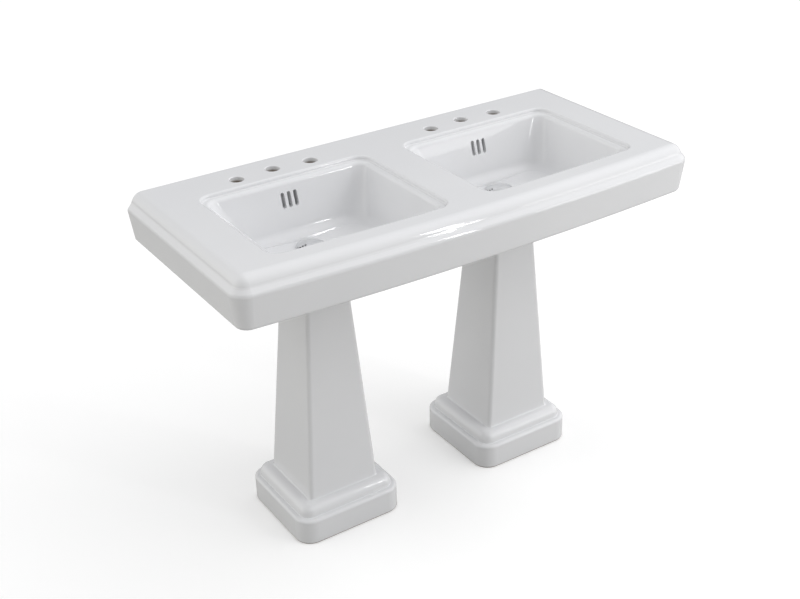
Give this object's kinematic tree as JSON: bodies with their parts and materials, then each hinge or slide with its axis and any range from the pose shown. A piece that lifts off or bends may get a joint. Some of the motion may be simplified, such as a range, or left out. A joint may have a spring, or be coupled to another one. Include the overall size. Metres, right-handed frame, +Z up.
{
  "type": "double pedestal sink",
  "caption": "Wide white ceramic washbasin with twin rectangular bowls, moulded rim and bowed front, carried on tapered pedestals; chrome push wastes close the bowls.",
  "frame": {"origin": "on the floor, under the middle of the basin's outline", "axes": "+X along the basin to the right as seen from the front, +Y to the wall, +Z up"},
  "size_m": [1.26, 0.5749, 0.885],
  "materials": {
    "ceramic": "gloss white glaze",
    "chrome": "polished",
    "brass": "turned",
    "rubber": "matt",
    "plastic": "matt"
  },
  "bodies": {
    "sink": {"basin": "ceramic", "pedestal_left": "ceramic", "pedestal_pad_left": "rubber", "waste_body_left": "chrome", "flange_seal_left": "rubber", "under_washer_left": "rubber", "slip_washer_left": "plastic", "back_nut_left": "brass", "click_cartridge_left": "brass", "pedestal_right": "ceramic", "pedestal_pad_right": "rubber", "waste_body_right": "chrome", "flange_seal_right": "rubber", "under_washer_right": "rubber", "slip_washer_right": "plastic", "back_nut_right": "brass", "click_cartridge_right": "brass"},
    "plug_left": {"plug_cap_left": "chrome", "plug_stem_left": "brass", "plug_seal_left": "rubber"},
    "plug_right": {"plug_cap_right": "chrome", "plug_stem_right": "brass", "plug_seal_right": "rubber"}
  },
  "joints": [
    {"name": "plug_left_lift", "type": "slide", "parent": "sink", "child": "plug_left", "axis": [0, 0, 1], "range_m": [0, 0.008]},
    {"name": "plug_right_lift", "type": "slide", "parent": "sink", "child": "plug_right", "axis": [0, 0, 1], "range_m": [0, 0.008]}
  ]
}
